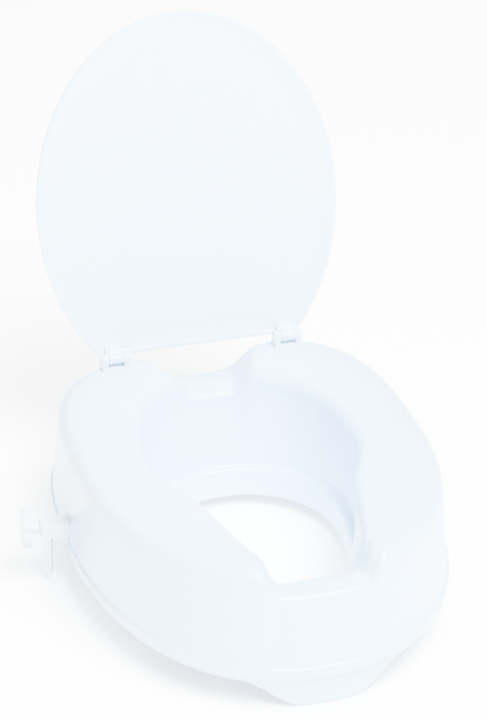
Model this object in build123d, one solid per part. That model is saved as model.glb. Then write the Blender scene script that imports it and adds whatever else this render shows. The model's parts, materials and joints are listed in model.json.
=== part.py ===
from build123d import *
import math
import os

# Raised toilet seat: a moulded ring that sits on the rim of a toilet bowl, with a hinged lid and
# two side clamps. Millimetres. The origin is the middle of the bowl opening on the plane of the
# bowl rim; +Z is up, the front of the seat faces -Y and +X is to the right seen from the front.

# ---- seat ring
seat_height = 101.6          # bowl rim to the top of the ring
seat_half_width = 177.0      # outer wall at the top
outline_powers = (2.16, 3.2)   # fullness of the outline's front and rear
wall_flare = 5.0             # the foot of the wall stands out by this much at the sides
front_reach = 228.0          # widest station to the front of the ring, at the top
front_flare = 13.0           # the foot of the wall stands out by this much more at the front
rear_reach = 200.0           # widest station to the back of the ring
widest_y = 28.0              # where the ring is widest
waist_depth = 24.0           # hollow in the middle of the back wall
waist_width = 75.0
crown = 1.6                  # rise of the sitting surface across its width
wall = 3.2                   # moulded wall
outer_round = 15.0           # outer top edge
inner_round = 13.0           # inner top edge
dip_round = 9.0              # both edges in the front and rear dips
front_dip = 23.0             # depth of the access recess at the front
front_dip_angles = (8.0, 14.5)     # its floor ends at the first and its bank at the second
rear_dip = 22.0              # depth of the access recess at the back
rear_dip_angles = (161.0, 174.0)
mouth_half_width = 104.0     # inner wall at the top, at the widest station
mouth_front = 196.0          # from the widest station to the front of the mouth
mouth_rear = 126.0           # from the widest station to the back of the mouth
slot_half_width = 85.0       # the mouth narrows in front to a slot; half width at the widest station
slot_taper = 0.246           # and by this much for each millimetre further forward
slot_round = 24.0            # rounding of the slot's front corners
slot_ease = 8.0              # rounding where the slot opens into the bowl
# ---- bowl side
opening_half_width = 92.0    # splash collar, inside
opening_front = 134.0        # from the widest station to the front of the collar
opening_rear = 84.0          # from the widest station to the back of the collar
opening_powers = (2.3, 2.0)    # fullness of the collar's front and rear
collar_wall = 3.0
collar_depth = 21.0          # the collar hangs this far into the bowl
shelf_width = 15.0           # flat bearing ring round the collar
ledge_width = 6.0            # rounded ledge between the collar and the inner wall
ledge_height = 11.0
bead_height = 12.5           # rolled bead at the foot of the outer wall
bead_out = 3.0
skirt_inset = 2.5            # locating skirt under the bead
skirt_depth = 8.0
tongue_depth = 34.0          # front locating tongue
tongue_half_foot = 24.0
tongue_half_root = 80.0
rib = 2.6                    # stiffening ribs inside the ring
rib_angles = (24, 52, 118, 148)
pad_radius = 11.0            # rubber pads let into the underside
pad_thickness = 3.0
pad_proud = 1.0
pad_boss_wall = 3.0
pad_angles = (38, 134)
# ---- lid
lid_half_width = 159.4
lid_length = 345.0
lid_widest = 147.0           # from the hinge end to the widest station
lid_thickness = 5.0
lid_rim_width = 5.0          # raised rim round the inner face
lid_rim_height = 1.0
lid_corner = 6.0
lid_lean = 16.8              # degrees behind the vertical, lid open
lid_offset = 11.1            # hinge axis to the rim of the lid's inner face
# ---- lid hinges
hinge_x = 92.5
hinge_y = 198.0
hinge_rise = 9.0             # axis above the sitting surface
hinge_barrel = 6.0           # outer radius of ears and knuckles
hinge_pin_radius = 2.5
knuckle_width = 16.4
ear_width = 5.8
ear_gap = 0.3
hinge_base = 2.0             # top of the hinge foot above the ring
hinge_foot = 3.0             # the foot is let into the ring by this much
hinge_depth = 15.0           # front to back
peg_radius = 4.5
peg_depth = 14.0
hinge_screw_radius = 1.9
hinge_screw_head = (3.8, 2.6)  # radius and height
pin_head = (4.0, 2.0)        # radius and height
# ---- clamps
clamp_y = 42.0               # where the clamp axis crosses the outer wall
clamp_z = 23.5               # height of the clamp screw
clamp_turn = 8.0             # degrees that the clamp points towards the back
arm_width = 20.0
arm_height = 16.0
arm_wall = 2.5
arm_out = 29.5               # end of the arm outside the wall
arm_in = 44.0                # end of the arm inside the wall
arm_end_wall = 6.0
jaw_drop = 51.0              # screw axis to the foot of the jaw
jaw_root = 9.8               # thickness of the jaw where it leaves the arm
jaw_foot = 5.0
grip_thickness = 2.5         # ribbed grip strip on the jaw
grip_length = 37.0
grip_width = 17.0
grip_teeth = 12
grip_lift = 3.0              # the strip ends this far above the foot of the jaw
clamp_travel = 26.0          # how far the jaw closes
screw_radius = 3.0
screw_end = -42.0            # tip of the screw, along the clamp axis
clamps_drawn_in = {"left": 0.0, "right": 1.0}    # share of the travel, as modelled
slide_gap = 0.35             # arm to its guide
guide_slack = 1.0            # the arm still has this much behind it, fully closed
wheel_gap = 0.3              # hub to the end of the arm
wheel_skin = 4.0             # plastic over the blind end of the screw's bore
scallop_radius = 4.4         # hollows between the lobes of the wheel
hub_radius = 5.4
hub_length = 8.0
wheel_radius = 20.0
wheel_thickness = 9.5
wheel_lobes = 8
nut_side = 10.0
nut_thickness = 5.0
nut_place = -27.0            # middle of the nut, along the clamp axis
nut_cheek = 2.4              # plastic in front of the nut and behind it
post_gap = 0.5               # nut post to the inside of the arm
groove_depth = 0.6           # groove in the screw for the retaining ring
ring_radius = 4.9
ring_gap = 3.2               # mouth of the open retaining ring
ring_thickness = 1.2
washer_radius = 5.2
washer_thickness = 1.2
running = 0.05               # radial clearance of a running fit
seam = 0.1                   # clearance between pieces that only lie face to face

# the top of the ring's section, before its slight crown
TOP = seat_height - crown
# stations round half of the ring, in degrees from the front, closer where the section changes fast
STATIONS = (0, 4, 8, 11, 14.5, 18, 22, 27, 33, 40, 50, 62, 76, 92, 106, 120, 134, 147, 155, 161,
            167, 174, 180)


def smooth(x, low, high):
    """0 below low, 1 above high, with a gentle S between."""
    t = min(1.0, max(0.0, (x - low) / (high - low)))
    return t * t * (3 - 2 * t)


def larger(a, b, ease):
    """The larger of two distances, eased over where they are nearly equal."""
    return max(a, b) + max(0.0, ease - abs(a - b)) ** 2 / (4 * ease)


def smaller(a, b, ease):
    return -larger(-a, -b, ease)


def oval(angle, half_width, front, rear, powers):
    """Distance from the widest station's middle to an egg-shaped outline. Angle 0 is the front."""
    s = abs(math.sin(math.radians(angle)))
    c = math.cos(math.radians(angle))
    reach, power = (front, powers[0]) if c > 0 else (rear, powers[1])
    return ((s / half_width) ** power + (abs(c) / reach) ** power) ** (-1 / power)


def outer_radius(angle, flare=0.0):
    """Outer wall. flare is 0 at the top of the wall and 1 at its foot."""
    half = seat_half_width + wall_flare * flare
    front = front_reach + (wall_flare + front_flare) * flare
    rear = rear_reach + wall_flare * flare
    radius = oval(angle, half, front, rear, outline_powers)
    across = radius * math.sin(math.radians(angle))
    waist = waist_depth * math.exp(-((across / waist_width) ** 2))
    return radius - waist * smooth(angle, 90, 130)


def collar_radius(angle):
    return oval(angle, opening_half_width, opening_front, opening_rear, opening_powers)


def mouth_radius(angle):
    """Inner wall at the top of the ring: a wide round bowl behind, and a narrower slot in front."""
    bowl = mouth_half_width + (mouth_rear - mouth_half_width) * smooth(angle, 92, 165)
    if angle >= 90:
        return bowl
    s, c = math.sin(math.radians(angle)), math.cos(math.radians(angle))
    slot = slot_half_width / (s + slot_taper * c)
    return larger(bowl, smaller(slot, mouth_front / c, slot_round), slot_ease)


def dips(angle):
    """How far the angle is into the front dip and into the rear dip, each from 0 to 1."""
    ahead = 1 - smooth(angle, *front_dip_angles)
    behind = smooth(angle, *rear_dip_angles)
    return ahead, behind


def top_height(angle):
    """The sitting surface, with its dips at the front and the back."""
    ahead, behind = dips(angle)
    return TOP - front_dip * ahead - rear_dip * behind


def edge_round(angle, full):
    return full + (dip_round - full) * max(dips(angle))


def spot(angle, radius, height):
    """A point given by its angle from the front, its distance out and its height."""
    a = math.radians(angle)
    return Vector(radius * math.sin(a), widest_y - radius * math.cos(a), height)


def ring_profile(angle):
    """Section of the full ring, from the foot of the inner wall over the top to the outer foot."""
    def at(radius, height):
        return spot(angle, radius, height)

    foot, mouth, top = collar_radius(angle) + seam, mouth_radius(angle), top_height(angle)
    ri, ro = edge_round(angle, inner_round), edge_round(angle, outer_round)
    out_top, out_foot = outer_radius(angle), outer_radius(angle, 1.0)
    q = math.sqrt(0.5)
    a, b = at(foot, -wall), at(foot, ledge_height / 5)
    c = at(foot + ledge_width, ledge_height)
    d, e = at(mouth, top - ri), at(mouth + ri, top)
    f, g = at(out_top - ro, top), at(out_top, top - ro)
    h, i, j = at(out_foot, bead_height), at(out_foot, 1.0), at(out_foot, -wall)
    inner_arc = ThreePointArc(d, at(mouth + ri * (1 - q), top - ri * (1 - q)), e)
    saddle = ThreePointArc(e, at((mouth + ri + out_top - ro) / 2, top + crown), f)
    outer_arc = ThreePointArc(f, at(out_top - ro * (1 - q), top - ro * (1 - q)), g)
    bead = ThreePointArc(h, at(out_foot + bead_out, bead_height / 2), i)
    shelf = ThreePointArc(b, at(foot + 0.2 * ledge_width, 0.65 * ledge_height), c)
    lines = [Line(a, b), shelf, Line(c, d), inner_arc, saddle, outer_arc]
    lines += [Line(g, h), bead, Line(i, j), Line(j, a)]
    return Face(Wire(lines))


def cavity_profile(angle):
    """Section of the hollow inside the ring, open below."""
    def at(radius, height):
        return spot(angle, radius, height)

    foot, mouth, top = collar_radius(angle), mouth_radius(angle), top_height(angle)
    ri, ro = edge_round(angle, inner_round), edge_round(angle, outer_round)
    out_top, out_foot = outer_radius(angle), outer_radius(angle, 1.0)
    points = [
        at(foot + shelf_width, -wall),
        at(foot + shelf_width, ledge_height + wall / 2),
        at(mouth + wall * 1.3, top - ri),
        at(mouth + ri, top - wall),
        at(out_top - ro, top - wall),
        at(out_top - wall, top - ro),
        at(out_foot - wall, bead_height),
        at(out_foot - wall, -wall),
    ]
    return Face(Wire(Polyline(*points, close=True)))


def both_sides(profile):
    half = loft([profile(angle) for angle in STATIONS])
    return half + mirror(half, about=Plane.YZ)


def plan_face(radius_of, steps=36):
    """A flat face in the plane z = 0 inside the closed outline radius_of(angle)."""
    angles = [360 * k / steps for k in range(steps)]
    points = [spot(a, radius_of(min(a, 360 - a)), 0) for a in angles]
    return Face(Wire(Spline(*points, periodic=True)))


def plan_ring(outer, inner, low, high):
    """An upright band between two outlines, from height low to height high."""
    face = plan_face(outer) - plan_face(inner)
    return Pos(0, 0, low) * extrude(face, high - low, dir=(0, 0, 1))


def block(x0, x1, y0, y1, z0, z1):
    return Pos((x0 + x1) / 2, (y0 + y1) / 2, (z0 + z1) / 2) * Box(x1 - x0, y1 - y0, z1 - z0)


def clamp_place(side):
    """Clamp frame: local X runs out along the screw from the outer wall, for side -1 or +1."""
    start = side * outer_radius(90, 0.6)
    turn = clamp_turn if side > 0 else 180 - clamp_turn
    return Pos(start, clamp_y, clamp_z) * Rot(0, 0, turn)


def pad_spots():
    """Middles of the rubber pads, which lie on the bowl rim between the collar and the wall."""
    spots = []
    for angle in pad_angles:
        radius = (collar_radius(angle) + shelf_width + outer_radius(angle, 1.0)) / 2
        for side in (-1, 1):
            p = spot(angle, radius, 0)
            spots.append((side * p.X, p.Y))
    return spots


def make_seat_shell():
    body = both_sides(ring_profile)
    span = 2 * (front_reach + rear_reach)
    body -= Pos(0, 0, -span / 2) * Box(span, span, span)
    hollow = both_sides(cavity_profile)
    web = block(0, span / 2, -rib / 2, rib / 2, 0, span)
    keep = []
    for angle in rib_angles:
        for side in (-1, 1):
            keep.append(Pos(0, widest_y, 0) * Rot(0, 0, side * angle - 90) * web)
    for x, y in pad_spots():
        keep.append(Pos(x, y, 0) * Cylinder(pad_radius + pad_boss_wall, 2 * TOP))
    for side in (-1, 1):
        keep.append(Pos(side * hinge_x, hinge_y, 0) * hinge_boss())
        keep.append(clamp_place(side) * clamp_guide())
    for piece in keep:
        hollow -= piece
    shell = body - hollow
    shell += plan_ring(lambda a: collar_radius(a) + collar_wall, collar_radius, -collar_depth, 1.0)
    shell += skirt()
    for x, y in pad_spots():
        shell -= Pos(x, y, 0) * Cylinder(pad_radius, 2 * (pad_thickness - pad_proud))
    for side in (-1, 1):
        shell -= Pos(side * hinge_x, hinge_y, 0) * hinge_seat_cut()
        shell -= clamp_place(side) * clamp_cut()
    return shell


def skirt():
    """Locating skirt under the bead, with a tongue that drops in front of the bowl."""
    def outside(angle):
        return outer_radius(angle, 1.0) - skirt_inset

    def inside(angle):
        return outside(angle) - wall

    band = plan_ring(outside, inside, -tongue_depth, 2.0)
    reach = 2 * front_reach
    low = block(-reach, reach, -reach, reach, -skirt_depth, 2.0)
    s = Vector(tongue_half_root, -skirt_depth)
    t = Vector(tongue_half_foot, -tongue_depth)
    right = Spline((s.X, s.Y), (t.X, t.Y), tangents=[(-1, 0), (-1, 0)])
    left = Spline((-t.X, t.Y), (-s.X, s.Y), tangents=[(-1, 0), (-1, 0)])
    foot = Line((t.X, t.Y), (-t.X, t.Y))
    upper = Polyline((-s.X, s.Y), (-s.X, 0), (s.X, 0), (s.X, s.Y))
    outline = Face(Wire([right, foot, left, *upper.edges()]))
    tongue = extrude(Plane.XZ * outline, reach, dir=(0, -1, 0))
    return band & (low + tongue)


def hinge_width():
    return knuckle_width + 2 * ear_gap + 2 * ear_width


def hinge_boss():
    """Solid seat for a hinge foot inside the ring."""
    w, d = hinge_width() / 2 + 2, hinge_depth / 2 + 2
    return block(-w, w, -d, d, TOP - hinge_foot - peg_depth - wall, 2 * TOP)


def hinge_seat_cut():
    """Recess for the hinge foot, hole for its peg and hole for its screw."""
    w, d = hinge_width() / 2, hinge_depth / 2
    floor = TOP - hinge_foot
    cut = block(-w, w, -d, d, floor, 2 * TOP)
    cut += Pos(0, 0, floor - peg_depth / 2) * Cylinder(peg_radius, peg_depth)
    cut += Pos(0, 0, floor - peg_depth - wall) * Cylinder(hinge_screw_radius + 0.3, 4 * wall)
    return cut


def clamp_guide():
    """Block inside the ring that carries the clamp arm and the nut."""
    half = arm_width / 2 + slide_gap + rib
    end = arm_in + clamp_travel + guide_slack + wall
    return block(-end, wall, -half, half, -clamp_z - 1, arm_height / 2 + slide_gap + wall)


def clamp_cut():
    """Channel for the arm, notch for the jaw and a lightening pocket, all but the nut post."""
    half, rise = arm_width / 2 + slide_gap, arm_height / 2 + slide_gap
    far = arm_out + arm_in
    end = arm_in + clamp_travel
    cut = block(-end - guide_slack, far, -half, half, -rise, rise)
    inner_jaw = arm_out - jaw_root - grip_thickness - clamp_travel - 2 * guide_slack
    cut += block(inner_jaw, far, -half, half, -2 * jaw_drop, rise)
    pocket = half - rib
    cut += block(-end, inner_jaw - wall, -pocket, pocket, -clamp_z - 1, -rise - wall)
    return cut - nut_post()


def nut_post():
    """Post that stands in the hollow of the arm and holds the square nut."""
    half = arm_width / 2 - arm_wall - post_gap
    low, high = -arm_height / 2 - slide_gap, arm_height / 2 - arm_wall - post_gap
    thick = nut_thickness / 2 + nut_cheek
    post = block(nut_place - thick, nut_place + thick, -half, half, low, high)
    side, t = (nut_side + seam) / 2, (nut_thickness + seam) / 2
    post -= block(nut_place - t, nut_place + t, -side, side, -nut_side / 2, high + 1)
    return post - Pos(nut_place, 0, 0) * Rot(0, 90, 0) * Cylinder(screw_radius + post_gap, 4 * thick)


def along_x(radius, start, end):
    return Pos((start + end) / 2, 0, 0) * Rot(0, 90, 0) * Cylinder(radius, end - start)


def make_bracket():
    """Clamp arm, an upturned channel, with the jaw hanging from its outer end."""
    arm = block(-arm_in, arm_out, -arm_width / 2, arm_width / 2, -arm_height / 2, arm_height / 2)
    arm = fillet(arm.edges().filter_by(Axis.X).group_by(Axis.Z)[-1], arm_height / 4)
    arm = chamfer(arm.faces().sort_by(Axis.X)[-1].edges().group_by(Axis.Z)[-1], arm_height / 8)
    half = arm_width / 2 - arm_wall
    arm -= block(-arm_in - 1, arm_out - arm_end_wall, -half, half, -arm_height, arm_height / 2 - arm_wall)
    root, foot = -arm_height / 2, -jaw_drop
    inner = arm_out - jaw_root
    lap = arm_height / 4
    points = [(arm_out, root + lap), (arm_out, root), (inner + jaw_foot, foot), (inner, foot)]
    points.append((inner, root + lap))
    jaw = extrude(Plane.XZ * Face(Wire(Polyline(*points, close=True))), arm_width / 2, both=True)
    jaw -= block(inner - 1, arm_out - arm_end_wall, -half, half, root, root + lap + 1)
    jaw = fillet(jaw.edges().filter_by(Axis.Y).group_by(Axis.Z)[0], jaw_foot / 3)
    arm += jaw
    return arm - along_x(screw_radius + running, 0, 2 * arm_out)


def make_grip():
    """Ribbed strip that bears on the bowl."""
    face = arm_out - jaw_root
    foot = -jaw_drop + grip_lift
    pitch = grip_length / grip_teeth
    points = [(face, foot), (face, foot + grip_length)]
    for k in reversed(range(grip_teeth)):
        low = foot + k * pitch
        points += [(face - grip_thickness / 2, low + pitch), (face - grip_thickness, low + pitch / 2)]
    points.append((face - grip_thickness / 2, foot))
    return extrude(Plane.XZ * Face(Wire(Polyline(*points, close=True))), grip_width / 2, both=True)


def wheel_stations():
    """Start of the hub, start of the lobed disc and its end, along the clamp axis."""
    start = arm_out + wheel_gap
    return start, start + hub_length, start + hub_length + wheel_thickness


def make_hand_wheel():
    """Lobed wheel and hub in one moulding, with a blind bore for the screw."""
    start, disc_start, end = wheel_stations()
    wheel = along_x(wheel_radius, disc_start, end)
    for k in range(wheel_lobes):
        place = Rot(360 / wheel_lobes * (k + 0.5), 0, 0) * Pos(0, 0, wheel_radius + scallop_radius * 0.45)
        wheel -= place * along_x(scallop_radius, disc_start - 1, end + 1)
    wheel = fillet(wheel.faces().sort_by(Axis.X)[-1].edges(), wheel_thickness / 8)
    wheel += along_x(hub_radius, start, disc_start + 1)
    return wheel - along_x(screw_radius, start - 1, end - wheel_skin)


def make_screw():
    """Clamp screw: it is held in the wheel and runs through the arm into the nut."""
    start = arm_out - arm_end_wall - washer_thickness
    shank = along_x(screw_radius, screw_end, wheel_stations()[2] - wheel_skin)
    root = along_x(screw_radius - groove_depth, 0, arm_out)
    shank -= along_x(screw_radius + 1, start - ring_thickness, start) - root
    return chamfer(shank.faces().sort_by(Axis.X)[0].edges(), screw_radius / 4)


def make_washer():
    start = arm_out - arm_end_wall - washer_thickness
    plate = along_x(washer_radius, start, start + washer_thickness - seam)
    return plate - along_x(screw_radius + running, 0, arm_out)


def make_retaining_ring():
    """Open ring snapped into the groove of the screw."""
    end = arm_out - arm_end_wall - washer_thickness
    ring = along_x(ring_radius, end - ring_thickness, end)
    ring -= along_x(screw_radius - groove_depth, 0, arm_out)
    return ring - block(0, arm_out, -ring_gap / 2, ring_gap / 2, -2 * ring_radius, 0)


def make_nut():
    half, t = nut_side / 2, nut_thickness / 2
    nut = block(nut_place - t, nut_place + t, -half, half, -half, half)
    return nut - along_x(screw_radius + running, nut_place - t - 1, nut_place + t + 1)


def screw_reach():
    """How far the hinge screw goes into the peg."""
    return peg_depth - wall / 2


def hinge_place(side):
    return Pos(side * hinge_x, hinge_y, seat_height + hinge_rise)


def pin_cut(length):
    return Rot(0, 90, 0) * Cylinder(hinge_pin_radius, length)


def make_hinge_mount():
    """Foot with two ears, in a frame whose origin is on the hinge axis."""
    foot_top = TOP + hinge_base - seat_height - hinge_rise
    foot_low = foot_top - hinge_base - hinge_foot
    w, d = hinge_width() / 2, hinge_depth / 2
    mount = block(-w, w, -d, d, foot_low, foot_top)
    for side in (-1, 1):
        inside = knuckle_width / 2 + ear_gap
        x0, x1 = sorted((side * inside, side * w))
        ear = block(x0, x1, -hinge_barrel, hinge_barrel, foot_top - 0.5, 0)
        ear += Pos((x0 + x1) / 2, 0, 0) * Rot(0, 90, 0) * Cylinder(hinge_barrel, ear_width)
        mount += ear
    mount += Pos(0, 0, foot_low - peg_depth / 2) * Cylinder(peg_radius, peg_depth)
    mount -= Pos(0, 0, foot_low - peg_depth) * Cylinder(hinge_screw_radius, 2 * screw_reach())
    return mount - pin_cut(4 * w)


def make_hinge_pin(side):
    """Pin with a domed head at its outer end."""
    w = hinge_width() / 2
    radius, height = pin_head
    head = Pos(side * (w + height / 2), 0, 0) * Rot(0, 90, 0) * Cylinder(radius, height)
    head = fillet(head.edges().sort_by(Axis.X)[-1 if side > 0 else 0], 0.45 * height)
    return head + Rot(0, 90, 0) * Cylinder(hinge_pin_radius, 2 * w)


def make_hinge_screw():
    """Self-tapping screw that draws the hinge foot down from inside the ring."""
    floor = TOP - hinge_foot - peg_depth - wall
    length = wall + screw_reach()
    shank = Pos(0, 0, floor + length / 2) * Cylinder(hinge_screw_radius, length)
    radius, height = hinge_screw_head
    return Pos(0, 0, floor - height / 2) * Cylinder(radius, height) + shank


def lid_plane():
    lean = math.radians(lid_lean)
    normal = Vector(0, -math.cos(lean), math.sin(lean))
    origin = Vector(0, hinge_y, seat_height + hinge_rise) - normal * lid_offset
    return Plane(origin=origin, x_dir=(1, 0, 0), z_dir=normal)


def make_lid():
    """Oval lid, cut straight at the hinges, with two knuckles. Modelled open, leaning back."""
    reach = lid_length - lid_widest

    def oval_plate(inset, low, high):
        sketch = Pos(0, lid_widest) * Ellipse(lid_half_width - inset, reach - inset)
        sketch -= Pos(0, inset - lid_length) * Rectangle(3 * lid_half_width, 2 * lid_length)
        corners = sketch.vertices().group_by(Axis.Y)[0]
        return Pos(0, 0, low) * extrude(fillet(corners, lid_corner), high - low)

    lid = oval_plate(0, -lid_thickness, 0)
    lid = fillet(lid.faces().sort_by(Axis.Z)[0].edges(), 0.4 * lid_thickness)
    lid = fillet(lid.faces().sort_by(Axis.Z)[-1].edges(), 0.2 * lid_thickness)
    lid -= oval_plate(lid_rim_width, -lid_rim_height, 1)
    low, reach_in = 1 - lid_thickness, lid_offset
    for side in (-1, 1):
        x0 = side * hinge_x - knuckle_width / 2
        knuckle = Pos(side * hinge_x, 0, lid_offset) * Rot(0, 90, 0) * Cylinder(hinge_barrel, knuckle_width)
        points = [(-hinge_barrel, lid_offset), (-hinge_barrel / 2, low), (reach_in, low), (reach_in, 0)]
        points += [(hinge_barrel, 0.7 * lid_offset), (hinge_barrel, lid_offset)]
        web = extrude(Plane.YZ * Face(Wire(Polyline(*points, close=True))), knuckle_width)
        lid += knuckle + Pos(x0, 0, 0) * web
    bore = Pos(0, 0, lid_offset) * Rot(0, 90, 0) * Cylinder(hinge_pin_radius + running, 4 * hinge_x)
    return lid_plane() * (lid - bore)


def make_pad():
    return Pos(0, 0, pad_thickness / 2 - pad_proud) * Cylinder(pad_radius, pad_thickness)


def save(shape, name):
    export_step(shape, f"parts/{name}.step")


def main():
    os.makedirs("parts", exist_ok=True)
    save(make_seat_shell(), "seat_shell")
    save(make_lid(), "lid")
    sides = {"left": -1, "right": 1}
    for name, side in sides.items():
        save(hinge_place(side) * make_hinge_mount(), f"{name}_hinge_mount")
        save(hinge_place(side) * make_hinge_pin(side), f"{name}_hinge_pin")
        clamp = clamp_place(side)
        save(clamp * make_nut(), f"{name}_captive_nut")
        clamp *= Pos(-clamp_travel * clamps_drawn_in[name], 0, 0)
        save(clamp * make_bracket(), f"{name}_clamp_bracket")
        save(clamp * make_grip(), f"{name}_jaw_grip")
        save(clamp * make_hand_wheel(), f"{name}_hand_wheel")
        save(clamp * make_screw(), f"{name}_clamp_screw")
        save(clamp * make_washer(), f"{name}_thrust_washer")
        save(clamp * make_retaining_ring(), f"{name}_retaining_ring")
    screws = [Pos(side * hinge_x, hinge_y, 0) * make_hinge_screw() for side in sides.values()]
    save(Compound(children=screws), "hinge_screws")
    corners = ("front_left", "front_right", "rear_left", "rear_right")
    for name, (x, y) in zip(corners, pad_spots()):
        save(Pos(x, y, 0) * make_pad(), f"{name}_rim_pad")


main()
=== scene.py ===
# %% [markdown]
# # A raised toilet seat
#
# A raised toilet seat is a thick white plastic ring that sits on the rim of a toilet bowl, so that its
# user has less far to sit down and stand up. It has an oval lid on two small hinges, and a clamp on each
# side that holds the bowl's rim. This lesson keeps the designed frame, in metres, gives the moulded
# pieces their soft shapes, and gives every piece a finish.

# %% Load the frame
import json
import math
import bpy
from mathutils import Matrix, Vector

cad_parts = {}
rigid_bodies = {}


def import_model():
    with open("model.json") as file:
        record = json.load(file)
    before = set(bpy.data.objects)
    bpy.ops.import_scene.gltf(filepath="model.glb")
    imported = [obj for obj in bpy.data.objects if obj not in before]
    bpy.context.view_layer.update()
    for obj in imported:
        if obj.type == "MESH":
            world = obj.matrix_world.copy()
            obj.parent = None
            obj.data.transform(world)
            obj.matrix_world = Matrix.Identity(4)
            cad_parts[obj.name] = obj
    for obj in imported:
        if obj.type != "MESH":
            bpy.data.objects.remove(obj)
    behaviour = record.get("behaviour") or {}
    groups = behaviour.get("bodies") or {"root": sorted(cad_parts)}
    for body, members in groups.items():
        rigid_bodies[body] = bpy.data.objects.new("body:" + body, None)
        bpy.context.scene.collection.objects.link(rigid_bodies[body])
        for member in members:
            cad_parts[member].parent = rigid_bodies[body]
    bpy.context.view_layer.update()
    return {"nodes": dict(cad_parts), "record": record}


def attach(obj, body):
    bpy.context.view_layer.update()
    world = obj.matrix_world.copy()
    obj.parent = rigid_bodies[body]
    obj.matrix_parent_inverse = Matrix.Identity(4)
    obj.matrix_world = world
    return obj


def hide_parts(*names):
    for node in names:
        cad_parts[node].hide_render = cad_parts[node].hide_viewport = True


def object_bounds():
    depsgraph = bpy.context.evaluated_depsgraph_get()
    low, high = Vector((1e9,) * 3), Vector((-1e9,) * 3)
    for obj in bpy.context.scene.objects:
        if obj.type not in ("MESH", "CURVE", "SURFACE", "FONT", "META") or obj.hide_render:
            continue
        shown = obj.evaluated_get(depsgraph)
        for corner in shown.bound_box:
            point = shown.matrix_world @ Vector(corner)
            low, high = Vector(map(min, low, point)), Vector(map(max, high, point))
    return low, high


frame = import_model()

# %% [markdown]
# ## The ring's sizes
#
# The ring is one blow-moulded shell. Every size that shapes it has a name here, in metres. Going round
# the ring, an angle of 0 is its front and 180 its back, and distances are measured from the middle of
# its widest station, which lies a little behind the middle of the bowl.

# %% Sizes of the ring
mm = 0.001
seat_height = 101.6 * mm
crown = 1.6 * mm
ring_top = seat_height - crown
seat_half_width = 177 * mm
outline_powers = (2.16, 3.2)
wall_flare = 5 * mm
front_reach = 228 * mm
front_flare = 13 * mm
rear_reach = 200 * mm
widest_y = 28 * mm
waist_depth = 24 * mm
waist_width = 75 * mm
wall = 3.2 * mm
outer_round = 15 * mm
inner_round = 13 * mm
dip_round = 9 * mm
front_dip = 23 * mm
front_dip_angles = (11.0, 16.0)
rear_dip = 22 * mm
rear_dip_angles = (160.0, 171.0)
mouth_half_width = 104 * mm
mouth_front = 194 * mm
mouth_rear = 126 * mm
slot_half_width = 95.7 * mm
slot_taper = 0.246
slot_round = 44 * mm
slot_ease = 8 * mm
opening_half_width = 92 * mm
opening_front = 134 * mm
opening_rear = 84 * mm
opening_powers = (2.3, 2.0)
collar_wall = 3 * mm
collar_depth = 21 * mm
shelf_width = 15 * mm
ledge_width = 6 * mm
ledge_height = 11 * mm
ledge_cove = 4 * mm
bead_height = 12.5 * mm
bead_out = 4 * mm
bead_neck = 1.5 * mm
skirt_inset = 2.5 * mm
skirt_depth = 8 * mm
tongue_depth = 34 * mm
tongue_half_foot = 24 * mm
tongue_half_root = 80 * mm

# %% [markdown]
# ## Outlines as functions
#
# A mould maker draws such a ring as a section that changes slowly on its way round. The same can be done
# with a few functions of the angle: how far out the wall is, how far out the mouth is, and how high the
# top is. A power between 2 and 4 makes an ellipse fuller at its corners. Where two outlines meet, the
# larger or the smaller one is taken, with a short ease in place of a corner.

# %% Outline functions
def smooth(x, low, high):
    """0 below low, 1 above high, with a gentle S between."""
    t = min(1.0, max(0.0, (x - low) / (high - low)))
    return t * t * (3 - 2 * t)


def larger(a, b, ease):
    """The larger of two distances, eased over where they are nearly equal."""
    return max(a, b) + max(0.0, ease - abs(a - b)) ** 2 / (4 * ease)


def smaller(a, b, ease):
    return -larger(-a, -b, ease)


def oval(angle, half_width, front, rear, powers):
    """Distance out to an egg-shaped outline, with one power for its front and one for its rear."""
    s = abs(math.sin(math.radians(angle)))
    c = math.cos(math.radians(angle))
    reach, power = (front, powers[0]) if c > 0 else (rear, powers[1])
    return ((s / half_width) ** power + (abs(c) / reach) ** power) ** (-1 / power)


def outer_radius(angle, flare=0.0):
    """Outer wall. flare is 0 at the top of the wall and 1 at its foot."""
    half = seat_half_width + wall_flare * flare
    front = front_reach + (wall_flare + front_flare) * flare
    rear = rear_reach + wall_flare * flare
    radius = oval(angle, half, front, rear, outline_powers)
    across = radius * math.sin(math.radians(angle))
    waist = waist_depth * math.exp(-((across / waist_width) ** 2))
    return radius - waist * smooth(angle, 90, 130)


def collar_radius(angle):
    return oval(angle, opening_half_width, opening_front, opening_rear, opening_powers)


def mouth_radius(angle):
    """Inner wall at the top: a wide round bowl behind, and a narrower slot in front."""
    bowl = mouth_half_width + (mouth_rear - mouth_half_width) * smooth(angle, 92, 165)
    if angle >= 90:
        return bowl
    s, c = math.sin(math.radians(angle)), math.cos(math.radians(angle))
    slot = slot_half_width / (s + slot_taper * c)
    return larger(bowl, smaller(slot, mouth_front / c, slot_round), slot_ease)


def dips(angle):
    """How far the angle is into the front dip and into the rear dip, each from 0 to 1."""
    return 1 - smooth(angle, *front_dip_angles), smooth(angle, *rear_dip_angles)


def top_height(angle):
    ahead, behind = dips(angle)
    return ring_top - front_dip * ahead - rear_dip * behind


def edge_round(angle, full):
    return full + (dip_round - full) * max(dips(angle))


def skirt_bottom(angle):
    """Depth of the skirt below the bowl rim, with the tongue in front of the bowl."""
    across = outer_radius(angle, 1.0) * math.sin(math.radians(angle))
    drop = 1 - smooth(across, tongue_half_foot, tongue_half_root)
    return skirt_depth + (tongue_depth - skirt_depth) * drop * (angle < 90)


print("mouth is", round(2 * mouth_radius(90) / mm), "mm wide at the widest station")

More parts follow.
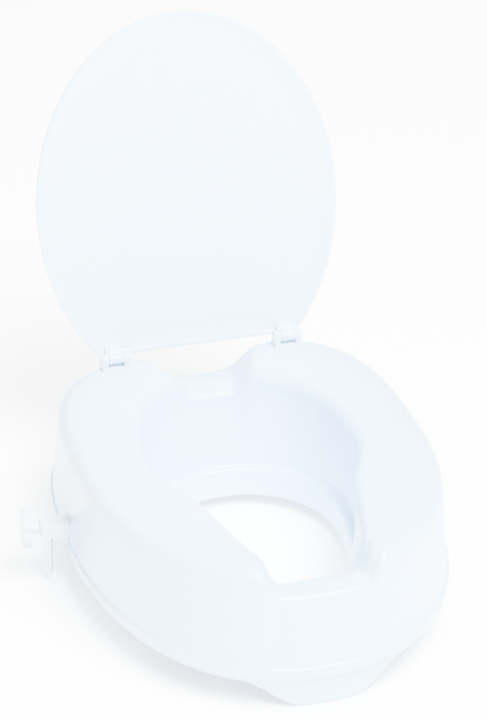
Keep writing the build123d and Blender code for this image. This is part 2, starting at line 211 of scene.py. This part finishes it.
# %% [markdown]
# ## One section of the ring
#
# A section goes up the inside from the splash collar, over the ledge, up the inner wall, over the
# sitting surface, down the outer wall, round the rolled bead and the skirt, and then back through the
# hollow inside. Each stretch is a run of points or an arc, and every section has the same number of
# points, so that each point can be joined to its neighbours all the way round.

# %% The ring's section
def arc(r, z, wide, high, first, last, steps):
    """Points round part of an ellipse, in degrees, both ends included."""
    turns = [math.radians(first + (last - first) * k / steps) for k in range(steps + 1)]
    return [(r + wide * math.cos(t), z + high * math.sin(t)) for t in turns]


def run(start, end, steps):
    """Points between two points, with neither end."""
    shares = [k / steps for k in range(1, steps)]
    return [(start[0] + (end[0] - start[0]) * s, start[1] + (end[1] - start[1]) * s) for s in shares]


def saddle(start, end, rise, steps):
    """A run that is crowned by rise in its middle."""
    points = run(start, end, steps)
    return [(r, z + rise * (1 - (2 * (k + 1) / steps - 1) ** 2)) for k, (r, z) in enumerate(points)]


def ring_section(angle):
    foot, mouth, top = collar_radius(angle), mouth_radius(angle), top_height(angle)
    inner, outer = edge_round(angle, inner_round), edge_round(angle, outer_round)
    out_top, out_foot = outer_radius(angle), outer_radius(angle, 1.0)
    lip, skirt_half = collar_wall / 2, wall / 2
    low, skirt_out = -skirt_bottom(angle), out_foot - skirt_inset
    wall_foot = (foot + ledge_width + ledge_cove, ledge_height + ledge_cove)
    stretches = [
        arc(foot + lip, lip - collar_depth, lip, lip, 270, 180, 3),
        run((foot, lip - collar_depth), (foot, ledge_height / 4), 4),
        arc(foot + ledge_width, ledge_height / 4, ledge_width, 0.75 * ledge_height, 180, 90, 6),
        arc(foot + ledge_width, ledge_height + ledge_cove, ledge_cove, ledge_cove, 285, 360, 4),
        run(wall_foot, (mouth, top - inner), 9),
        arc(mouth + inner, top - inner, inner, inner, 180, 90, 9),
        saddle((mouth + inner, top), (out_top - outer, top), crown, 10),
        arc(out_top - outer, top - outer, outer, outer, 90, 0, 9),
        run((out_top, top - outer), (out_foot, bead_height + bead_neck), 9),
        arc(out_foot, bead_height / 2, bead_out, bead_height / 2, 80, -85, 10),
        arc(skirt_out + mm, -mm, mm, mm, 90, 180, 3),
        run((skirt_out, -mm), (skirt_out, low + skirt_half), 5),
        arc(skirt_out - skirt_half, low + skirt_half, skirt_half, skirt_half, 0, -180, 6),
        run((skirt_out - wall, low + skirt_half), (out_foot - wall, bead_height), 5),
        [(out_foot - wall, bead_height)],
        arc(out_top - outer, top - outer, outer - wall, outer - wall, 0, 90, 6),
        arc(mouth + inner, top - inner, inner - wall, inner - wall, 90, 180, 6),
        run((mouth + wall, top - inner), (foot + shelf_width, ledge_height + 2 * wall), 4),
        [(foot + shelf_width, ledge_height + 2 * wall), (foot + shelf_width, 0.0)],
        [(foot + shelf_width - mm, 0.0), (foot + collar_wall + mm, 0.0)],
        [(foot + collar_wall, -mm)],
        arc(foot + lip, lip - collar_depth, lip, lip, 0, -60, 2),
    ]
    return [point for stretch in stretches for point in stretch]


print("a section has", len(ring_section(0)), "points")

# %% [markdown]
# ## Modelling helpers
#
# A few small helpers save repeating the same steps. The first three look after the selection and the
# names, because an operator acts on all that is selected. The next makes a ring the way a basket is
# woven: it adds a circle, extrudes it upwards loop by loop into a tube, and then moves each loop to its
# own point of the section. The last two apply a modifier, so that what is seen is real geometry, and
# join pieces into one.

# %% Modelling helpers
def deselect():
    bpy.ops.object.select_all(action="DESELECT")


def only(piece):
    deselect()
    piece.select_set(True)
    bpy.context.view_layer.objects.active = piece


def named(name):
    piece = bpy.context.object
    piece.name = piece.data.name = name
    return piece


def woven(name, around, loops, place, closed=True):
    """A tube of loops, each vertex then moved to place(loop, turn), with turn 0 at the front."""
    deselect()
    bpy.ops.mesh.primitive_circle_add(vertices=around, radius=1.0)
    piece = named(name)
    bpy.ops.object.mode_set(mode="EDIT")
    bpy.ops.mesh.select_mode(type="VERT")
    bpy.ops.mesh.select_all(action="SELECT")
    for _ in range(loops - 1):
        bpy.ops.mesh.extrude_region_move(TRANSFORM_OT_translate={"value": (0, 0, 1)})
    bpy.ops.object.mode_set(mode="OBJECT")
    last = loops - 1
    ends = [round(v.co.z) in (0, last) for v in piece.data.vertices]
    for v in piece.data.vertices:
        turn = math.degrees(math.atan2(v.co.x, -v.co.y))
        v.co = place(round(v.co.z), turn)
    bpy.ops.object.mode_set(mode="EDIT")
    bpy.ops.mesh.select_mode(type="VERT")
    bpy.ops.mesh.select_all(action="DESELECT")
    bpy.ops.object.mode_set(mode="OBJECT")
    for v, end in zip(piece.data.vertices, ends):
        v.select = end
    for e in piece.data.edges:
        e.select = all(ends[k] for k in e.vertices) if closed else False
    bpy.ops.object.mode_set(mode="EDIT")
    if closed:
        bpy.ops.mesh.select_mode(type="EDGE")
        bpy.ops.mesh.bridge_edge_loops()
    bpy.ops.mesh.select_mode(type="VERT")
    bpy.ops.mesh.select_all(action="SELECT")
    bpy.ops.mesh.remove_doubles(threshold=1e-6)
    bpy.ops.mesh.normals_make_consistent(inside=False)
    bpy.ops.object.mode_set(mode="OBJECT")
    return piece


def apply_modifier(piece, kind, **settings):
    only(piece)
    modifier = piece.modifiers.new(kind.lower(), kind)
    for key, value in settings.items():
        setattr(modifier, key, value)
    bpy.ops.object.modifier_apply(modifier=modifier.name)


def join(main, others):
    only(main)
    for other in others:
        other.select_set(True)
    bpy.ops.object.join()
    return main


# %% [markdown]
# ## Weaving the ring
#
# The two dips and the narrow slot are where the shape turns fastest, so the loops' vertices are drawn
# together at the front and at the back and spread along the sides. That keeps the banks of the dips
# smooth without spending points on the plain side walls.

# %% Weave the ring
ring_around = 256
gather = 0.08


def ring_angle(turn):
    share = abs(turn) / 180
    return 180 * (share - gather * math.sin(2 * math.pi * share))


def ring_spot(radius, height, angle, side):
    a = math.radians(angle)
    return Vector((side * radius * math.sin(a), widest_y - radius * math.cos(a), height))


sections = {}


def ring_place(loop, turn):
    key = round(abs(turn), 4)
    if key not in sections:
        sections[key] = ring_section(ring_angle(key))
    radius, height = sections[key][loop]
    return ring_spot(radius, height, ring_angle(key), 1 if turn >= 0 else -1)


ring = woven("moulded_ring", ring_around, len(ring_section(0)), ring_place)
print("ring woven from", len(ring.data.vertices), "vertices")

# %% [markdown]
# ## Inside the ring
#
# Seen from below, the ring is hollow, with thin ribs that keep its walls from bowing, round bosses that
# hold the rubber pads, and a square boss under each hinge. A rib is a flat face cut to the shape of the
# hollow and thickened. It reaches into the middle of the wall, as a rib does that is moulded with it.

# %% Ribs and bosses
rib = 2.6 * mm
rib_angles = (24, 52, 118, 148)
pad_angles = (38, 134)
pad_radius = 11 * mm
pad_boss_radius = 14 * mm
pad_recess = 2 * mm
round_steps = 48


def rib_section(angle):
    foot, mouth, top = collar_radius(angle), mouth_radius(angle), top_height(angle)
    inner, outer = edge_round(angle, inner_round), edge_round(angle, outer_round)
    out_top, out_foot = outer_radius(angle), outer_radius(angle, 1.0)
    half = wall / 2
    points = [(foot + shelf_width - half, mm), (foot + shelf_width - half, ledge_height + 2 * wall)]
    points += arc(mouth + inner, top - inner, inner - half, inner - half, 180, 90, 4)
    points += arc(out_top - outer, top - outer, outer - half, outer - half, 90, 0, 4)
    return points + [(out_foot - half, bead_height), (out_foot - half, mm)]


def make_rib(angle, side):
    points = rib_section(angle)
    deselect()
    bpy.ops.mesh.primitive_circle_add(vertices=len(points), fill_type="NGON")
    piece = named("rib")
    for v, (radius, height) in zip(piece.data.vertices, points):
        v.co = ring_spot(radius, height, angle, side)
    apply_modifier(piece, "SOLIDIFY", thickness=rib, offset=0.0)
    bpy.ops.object.mode_set(mode="EDIT")
    bpy.ops.mesh.select_all(action="SELECT")
    bpy.ops.mesh.normals_make_consistent(inside=False)
    bpy.ops.object.mode_set(mode="OBJECT")
    return piece


def make_pad_boss(angle, side):
    """A post from the sitting surface down to the bowl rim, with a round recess in its foot."""
    radius = (collar_radius(angle) + shelf_width + outer_radius(angle, 1.0)) / 2
    x, y, _ = ring_spot(radius, 0.0, angle, side)
    top = ring_top - wall / 2
    deselect()
    bpy.ops.mesh.primitive_cylinder_add(
        vertices=round_steps, radius=pad_boss_radius, depth=top, location=(x, y, top / 2))
    piece = named("pad_boss")
    bpy.ops.object.transform_apply()
    bpy.ops.object.mode_set(mode="EDIT")
    bpy.ops.mesh.select_mode(type="FACE")
    bpy.ops.mesh.select_all(action="DESELECT")
    bpy.ops.object.mode_set(mode="OBJECT")
    for face in piece.data.polygons:
        face.select = face.normal.z < -0.9
    bpy.ops.object.mode_set(mode="EDIT")
    bpy.ops.mesh.inset(thickness=pad_boss_radius - pad_radius)
    bpy.ops.mesh.extrude_region_move(TRANSFORM_OT_translate={"value": (0, 0, pad_recess)})
    bpy.ops.object.mode_set(mode="OBJECT")
    return piece


inner_parts = []
for side in (-1, 1):
    inner_parts += [make_rib(angle, side) for angle in rib_angles]
    inner_parts += [make_pad_boss(angle, side) for angle in pad_angles]
print("inside the ring:", len(inner_parts), "ribs and posts")

# %% [markdown]
# ## Where the clamps and hinges go in
#
# Each clamp's arm slides in a square channel through the outer wall, and its jaw hangs down through a
# notch in the foot of the ring. Saw cuts like these are made with a Boolean: a box is placed where the
# clamp runs, taken away from the ring, and deleted. The guide block behind the wall is cut by the same
# boxes, so that the channel runs on through it.

# %% Clamp channels and hinge seats
clamp_y = 42 * mm
clamp_z = 23.5 * mm
clamp_turn = math.radians(8)
arm_width = 20 * mm
arm_height = 16 * mm
arm_in = 44 * mm
arm_out = 29.5 * mm
jaw_root = 9.8 * mm
grip_thickness = 2.5 * mm
clamp_travel = 26 * mm
jaw_drop = 51 * mm
slide_gap = 0.35 * mm
slack = 1 * mm
hinge_x = 92.5 * mm
hinge_y = 198 * mm
hinge_boss_half_width = 16.3 * mm
hinge_boss_half_depth = 9.5 * mm
hinge_boss_forward = 2 * mm
hinge_boss_foot = 79.8 * mm
ring_crease = math.radians(42)


def clamp_matrix(side):
    """The clamp's own frame: X runs out along its screw, from the outer wall."""
    start = (side * outer_radius(90, 0.6), clamp_y, clamp_z)
    turn = clamp_turn if side > 0 else math.pi - clamp_turn
    return Matrix.Translation(start) @ Matrix.Rotation(turn, 4, "Z")


def block(name, x, y, z, matrix):
    """A box between pairs of x, y and z in the frame of matrix."""
    deselect()
    centre = Vector((sum(x) / 2, sum(y) / 2, sum(z) / 2))
    bpy.ops.mesh.primitive_cube_add(size=1.0)
    piece = named(name)
    scale = Matrix.Diagonal((x[1] - x[0], y[1] - y[0], z[1] - z[0], 1.0))
    piece.data.transform(matrix @ Matrix.Translation(centre) @ scale)
    return piece


def subtract(piece, cutters):
    for cutter in cutters:
        apply_modifier(piece, "BOOLEAN", object=cutter, operation="DIFFERENCE", solver="EXACT")
    for cutter in cutters:
        bpy.data.objects.remove(cutter)


def clamp_cutters(side):
    half, rise = arm_width / 2 + slide_gap, arm_height / 2 + slide_gap
    inner_jaw = arm_out - jaw_root - grip_thickness - clamp_travel - 2 * slack
    matrix = clamp_matrix(side)
    along = (-arm_in - clamp_travel - slack, 2 * arm_out)
    channel = block("channel", along, (-half, half), (-rise, rise), matrix)
    notch = block("notch", (inner_jaw, 2 * arm_out), (-half, half), (-jaw_drop, rise - mm), matrix)
    return [channel, notch]


def make_guide(side):
    half = arm_width / 2 + slide_gap + rib
    end = arm_in + clamp_travel + slack + wall
    roof = arm_height / 2 + slide_gap + wall
    along = (-end, wall / 2 - mm)
    guide = block("guide", along, (-half, half), (mm / 2 - clamp_z, roof), clamp_matrix(side))
    subtract(guide, clamp_cutters(side))
    return guide


def make_hinge_boss(side):
    w, d = hinge_boss_half_width, hinge_boss_half_depth
    place = Matrix.Translation((side * hinge_x, hinge_y - hinge_boss_forward, 0))
    return block("hinge_boss", (-w, w), (-d, d), (hinge_boss_foot, ring_top - 2 * wall), place)


for side in (-1, 1):
    subtract(ring, clamp_cutters(side))
    inner_parts += [make_guide(side), make_hinge_boss(side)]
ring = join(ring, inner_parts)
only(ring)
bpy.ops.object.shade_smooth_by_angle(angle=ring_crease)
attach(ring, "seat")
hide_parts("seat_shell")
print("ring finished with", len(ring.data.polygons), "faces")

# %% [markdown]
# ## The lid
#
# The lid is a flat oval moulding, cut straight across between its hinges. Its inner face is dished by a
# millimetre inside a narrow rim, and its outer face is slightly domed so that water runs off. It is
# woven like the ring, but from the middle of one face, round the edge, to the middle of the other, and
# the loops at the two middles close to a point.

# %% Lid sizes and outline
lid_half_width = 159.4 * mm
lid_length = 345 * mm
lid_widest = 147 * mm
lid_thickness = 5 * mm
lid_rim_width = 5 * mm
lid_rim_height = 1 * mm
lid_dome = 3 * mm
lid_corner = 10 * mm
lid_lip_round = 1.2 * mm
lid_back_round = 2 * mm
lid_lean = math.radians(16.8)
lid_offset = 11.1 * mm
hinge_rise = 9 * mm
knuckle_width = 16.4 * mm
barrel = 6 * mm
lid_around = 192
lid_crease = math.radians(40)
middle_rings = 8
back_rings = 9
rim_floor_edge = 0.5 * mm
rim_slope = (0.7 * mm, -0.1 * mm)
rim_top_edge = 1.5 * mm


def lid_radius(turn):
    """From the widest station's middle to the lid's edge. Turn 0 points at the hinges."""
    s, c = math.sin(math.radians(turn)), math.cos(math.radians(turn))
    reach = lid_length - lid_widest
    ellipse = 1 / math.hypot(s / lid_half_width, c / reach)
    return smaller(ellipse, lid_widest / c, lid_corner) if c > 0.2 else ellipse


def lid_section(radius):
    """Radius and height from the middle of the inner face to the middle of the outer face."""
    floor = -lid_rim_height
    dished = radius - lid_rim_width
    points = [(dished * k / middle_rings, floor) for k in range(middle_rings)]
    points += [(dished - rim_floor_edge, floor), (dished + rim_slope[0], rim_slope[1])]
    points.append((dished + rim_top_edge, 0.0))
    lip, back = lid_lip_round, lid_back_round
    points += arc(radius - lip, -lip, lip, lip, 90, 0, 5)
    points += arc(radius - back, back - lid_thickness, back, back, 0, -80, 6)
    inside = radius - 1.5 * back
    shares = [1 - k / back_rings for k in range(back_rings + 1)]
    return points + [(inside * s, -lid_thickness - lid_dome * (1 - s ** 2)) for s in shares]


def lid_matrix():
    """The lid's own frame: X across, Y up from the hinges, Z out of its inner face."""
    normal = Vector((0, -math.cos(lid_lean), math.sin(lid_lean)))
    up = Vector((0, math.sin(lid_lean), math.cos(lid_lean)))
    origin = Vector((0, hinge_y, seat_height + hinge_rise)) - normal * lid_offset
    across = Vector((1, 0, 0))
    columns = Matrix((across, up, normal)).transposed().to_4x4()
    return Matrix.Translation(origin) @ columns


def lid_place(loop, turn):
    radius, height = lid_section(lid_radius(turn))[loop]
    a = math.radians(turn)
    return Vector((radius * math.sin(a), lid_widest - radius * math.cos(a), height))


lid = woven("lid_panel", lid_around, len(lid_section(lid_half_width)), lid_place, closed=False)
print("lid woven from", len(lid.data.vertices), "vertices")

# %% [markdown]
# ## Knuckles on the lid
#
# Two knuckles stand out from the lid's inner face, each a barrel round the hinge pin on a short web.
# The web is a cube whose upper faces are drawn in towards the barrel, and both get a small bevel, as a
# moulding has no sharp corner.

# %% Lid knuckles
roll_bevel = 0.5 * mm
web_bevel = 0.6 * mm
web_up = 11 * mm
web_sunk = 2 * mm
web_height = 0.8 * lid_offset
web_down = 0.8 * barrel
web_half_top = 0.95 * barrel


def make_knuckle(side):
    deselect()
    middle = (side * hinge_x, 0.0, lid_offset)
    bpy.ops.mesh.primitive_cylinder_add(
        vertices=round_steps, radius=barrel, depth=knuckle_width, location=middle,
        rotation=(0, math.pi / 2, 0))
    roll = named("knuckle")
    bpy.ops.object.transform_apply()
    apply_modifier(roll, "BEVEL", width=roll_bevel, segments=2)
    half = knuckle_width / 2
    place = Matrix.Translation((side * hinge_x, 0, 0))
    web = block("web", (-half, half), (-web_down, web_up), (-web_sunk, web_height), place)
    for v in web.data.vertices:
        if v.co.z > 0:
            v.co.y = -web_half_top if v.co.y < 0 else web_half_top
    apply_modifier(web, "BEVEL", width=web_bevel, segments=2)
    return [roll, web]


lid = join(lid, make_knuckle(-1) + make_knuckle(1))
lid.data.transform(lid_matrix())
only(lid)
bpy.ops.object.shade_smooth_by_angle(angle=lid_crease)
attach(lid, "lid")
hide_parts("lid")

# %% [markdown]
# ## Plastic, rubber and steel
#
# Moulded polypropylene is never quite even: its colour drifts a little from place to place, its gloss is
# broken by fine flow marks, and a spark-eroded mould leaves a faint grain. These effects are shared by
# all the plastics, so they are made once as a node group. The shaders stay in each material.

# %% Shared surface group
def socket(tree, name, direction, value=None):
    made = tree.interface.new_socket(name=name, in_out=direction, socket_type="NodeSocketFloat")
    if value is not None:
        made.default_value = value


def build_moulded_surface():
    """Drift: slow unevenness of the colour. Gloss: roughness. Grain: height for a bump."""
    tree = bpy.data.node_groups.new("moulded_surface", "ShaderNodeTree")
    socket(tree, "Drift Scale", "INPUT", value=9.0)
    socket(tree, "Grain Scale", "INPUT", value=900.0)
    socket(tree, "Gloss Low", "INPUT", value=0.2)
    socket(tree, "Gloss High", "INPUT", value=0.32)
    socket(tree, "Drift", "OUTPUT")
    socket(tree, "Gloss", "OUTPUT")
    socket(tree, "Grain", "OUTPUT")
    nodes, links = tree.nodes, tree.links
    given, result = nodes.new("NodeGroupInput"), nodes.new("NodeGroupOutput")
    place = nodes.new("ShaderNodeTexCoord")

    def noise(scale, detail):
        made = nodes.new("ShaderNodeTexNoise")
        made.inputs["Detail"].default_value = detail
        links.new(place.outputs["Object"], made.inputs["Vector"])
        links.new(given.outputs[scale], made.inputs["Scale"])
        return made.outputs["Fac"]

    drift, grain = noise("Drift Scale", 3.0), noise("Grain Scale", 2.0)
    spread = nodes.new("ShaderNodeMapRange")
    spread.inputs["From Min"].default_value = 0.2
    spread.inputs["From Max"].default_value = 0.8
    links.new(drift, spread.inputs["Value"])
    links.new(spread.outputs["Result"], result.inputs["Drift"])
    gloss = nodes.new("ShaderNodeMapRange")
    gloss.inputs["From Min"].default_value = 0.3
    gloss.inputs["From Max"].default_value = 0.7
    links.new(drift, gloss.inputs["Value"])
    links.new(given.outputs["Gloss Low"], gloss.inputs["To Min"])
    links.new(given.outputs["Gloss High"], gloss.inputs["To Max"])
    links.new(gloss.outputs["Result"], result.inputs["Gloss"])
    links.new(grain, result.inputs["Grain"])
    return tree


surface_group = build_moulded_surface()


def moulded(name, light, shade, gloss, grain_scale, grain_depth, coat=0.0, metallic=0.0):
    """A material whose colour drifts between two tones, with grain from the shared group."""
    material = bpy.data.materials.new(name)
    material.use_nodes = True
    nodes, links = material.node_tree.nodes, material.node_tree.links
    shader = nodes["Principled BSDF"]
    group = nodes.new("ShaderNodeGroup")
    group.node_tree = surface_group
    group.inputs["Grain Scale"].default_value = grain_scale
    group.inputs["Gloss Low"].default_value = gloss[0]
    group.inputs["Gloss High"].default_value = gloss[1]
    tone = nodes.new("ShaderNodeMix")
    tone.data_type = "RGBA"
    tone.inputs["A"].default_value = (*shade, 1.0)
    tone.inputs["B"].default_value = (*light, 1.0)
    links.new(group.outputs["Drift"], tone.inputs["Factor"])
    links.new(tone.outputs["Result"], shader.inputs["Base Color"])
    links.new(group.outputs["Gloss"], shader.inputs["Roughness"])
    bump = nodes.new("ShaderNodeBump")
    bump.inputs["Strength"].default_value = 0.6
    bump.inputs["Distance"].default_value = grain_depth
    links.new(group.outputs["Grain"], bump.inputs["Height"])
    links.new(bump.outputs["Normal"], shader.inputs["Normal"])
    shader.inputs["Coat Weight"].default_value = coat
    shader.inputs["Coat Roughness"].default_value = 0.12
    shader.inputs["Metallic"].default_value = metallic
    return material


shell_plastic = moulded(
    "ring_polypropylene", (0.500, 0.735, 0.985), (0.485, 0.725, 0.980), (0.26, 0.34), 700, 0.00006, 0.2)
lid_plastic = moulded(
    "lid_polypropylene", (0.580, 0.785, 0.985), (0.565, 0.775, 0.980), (0.24, 0.30), 900, 0.00003, 0.25)
hinge_plastic = moulded(
    "hinge_nylon", (0.64, 0.78, 0.92), (0.61, 0.76, 0.90), (0.34, 0.44), 1200, 0.00004)
clamp_plastic = moulded(
    "clamp_polypropylene", (0.60, 0.74, 0.87), (0.57, 0.72, 0.85), (0.34, 0.46), 1100, 0.00005)
wheel_plastic = moulded(
    "wheel_polypropylene", (0.64, 0.77, 0.90), (0.61, 0.75, 0.88), (0.3, 0.4), 1000, 0.00005)
grip_rubber = moulded(
    "grip_elastomer", (0.50, 0.53, 0.56), (0.43, 0.46, 0.49), (0.62, 0.78), 1500, 0.0001)
pad_rubber = moulded(
    "pad_rubber", (0.60, 0.61, 0.62), (0.53, 0.54, 0.55), (0.68, 0.82), 1400, 0.0001)
screw_steel = moulded(
    "stainless_steel", (0.66, 0.66, 0.67), (0.58, 0.58, 0.60), (0.26, 0.4), 2400, 0.00002, metallic=1.0)

# %% Give every piece its finish
finish_of_slot = {
    "shell_plastic": shell_plastic,
    "lid_plastic": lid_plastic,
    "hinge_plastic": hinge_plastic,
    "clamp_plastic": clamp_plastic,
    "wheel_plastic": wheel_plastic,
    "grip_rubber": grip_rubber,
    "pad_rubber": pad_rubber,
    "screw_steel": screw_steel,
}


def dress(piece, material):
    piece.data.materials.clear()
    piece.data.materials.append(material)


dress(ring, shell_plastic)
dress(lid, lid_plastic)
slot_of_node = {part["node"]: part["material_slot"] for part in frame["record"]["subparts"]}
for node in frame["nodes"]:
    for thing in bpy.data.objects:
        if thing.name == node and thing.type == "MESH" and thing.material_slots:
            for material_slot in thing.material_slots:
                material_slot.material = finish_of_slot[slot_of_node[node]]
print("dressed", len(frame["nodes"]), "nodes")

# %% [markdown]
# ## Floor, light and camera
#
# White plastic on a white ground is lit by large soft lamps, so that its shape shows only as slow
# changes of tone. One wide lamp stands above and in front, a weak one fills from the left, another
# lights the back, and a pale surround does the rest. The floor glows, and ambient occlusion cuts its
# glow where the seat stands close over it, which paints a soft shadow under the seat.

# %% Stage
floor_side = 40.0
floor_gap = 0.0005
floor_glow = 5.0
# How far the shadow painted into the floor's glow reaches out from the seat.
painted_shadow_reach = 0.12


def make_floor():
    """A pale glowing floor with a painted shadow: its glow is less where the seat stands close over it.
    """
    deselect()
    bpy.ops.mesh.primitive_plane_add(size=floor_side, location=(0, 0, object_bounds()[0].z - floor_gap))
    floor = named("floor")
    bpy.ops.object.transform_apply()
    material = bpy.data.materials.new("pale_floor_with_painted_shadow")
    material.use_nodes = True
    nodes, links = material.node_tree.nodes, material.node_tree.links
    shader = nodes["Principled BSDF"]
    shader.inputs["Base Color"].default_value = (0.95, 0.95, 0.95, 1.0)
    shader.inputs["Roughness"].default_value = 0.9
    shader.inputs["Emission Color"].default_value = (1.0, 1.0, 1.0, 1.0)
    # Ambient occlusion dims the floor's glow near the seat. This is a painted shadow, not one cast by
    # the lamps.
    painted_shadow = nodes.new("ShaderNodeAmbientOcclusion")
    painted_shadow.samples = 8
    painted_shadow.inputs["Distance"].default_value = painted_shadow_reach
    glow = nodes.new("ShaderNodeMath")
    glow.operation = "MULTIPLY"
    glow.inputs[1].default_value = floor_glow
    links.new(painted_shadow.outputs["AO"], glow.inputs[0])
    links.new(glow.outputs[0], shader.inputs["Emission Strength"])
    floor.data.materials.append(material)


def make_lamp(name, place, target, size, watts, colour):
    data = bpy.data.lights.new(name, "AREA")
    data.energy, data.size, data.color = watts, size, colour
    lamp = bpy.data.objects.new(name, data)
    bpy.context.collection.objects.link(lamp)
    lamp.location = place
    lamp.rotation_euler = (Vector(target) - Vector(place)).to_track_quat("-Z", "Y").to_euler()


daylight = (1.0, 1.0, 1.0)
sky = (0.93, 0.97, 1.0)
seat_middle = (0, 0, 0.1)
make_floor()
make_lamp("key_lamp", (0.5, -1.1, 2.7), seat_middle, 1.6, 900.0, daylight)
make_lamp("fill_lamp", (-1.8, -1.4, 1.2), seat_middle, 1.8, 12.0, sky)
make_lamp("back_lamp", (0.2, 1.8, 1.9), seat_middle, 1.8, 60.0, daylight)
world = bpy.data.worlds.new("pale_surround")
world.use_nodes = True
surround = world.node_tree.nodes["Background"]
surround.inputs["Color"].default_value = (0.95, 0.975, 1.0, 1.0)
surround.inputs["Strength"].default_value = 1.5
bpy.context.scene.world = world

# %% [markdown]
# ## Camera
#
# The camera looks down on the seat from the left of its front, through a long lens that keeps its sides
# nearly parallel. It is placed by its direction and aimed with a slight roll.

# %% Camera
camera_place = Vector((-0.6204, -1.7816, 1.3363))
camera_azimuth, camera_height, camera_roll = (math.radians(d) for d in (-18.6, 30.88, 1.97))


def aim(azimuth, height, roll):
    level = math.cos(height)
    back = Vector((math.sin(azimuth) * level, -math.cos(azimuth) * level, math.sin(height)))
    right = Vector((math.cos(azimuth), math.sin(azimuth), 0))
    up = back.cross(right)
    columns = Matrix((right, up, back)).transposed()
    return columns @ Matrix.Rotation(roll, 3, "Z")


camera_data = bpy.data.cameras.new("camera")
camera_data.lens = 116.43
camera = bpy.data.objects.new("camera", camera_data)
bpy.context.collection.objects.link(camera)
turned = aim(camera_azimuth, camera_height, camera_roll).to_4x4()
camera.matrix_world = Matrix.Translation(camera_place) @ turned
bpy.context.scene.camera = camera
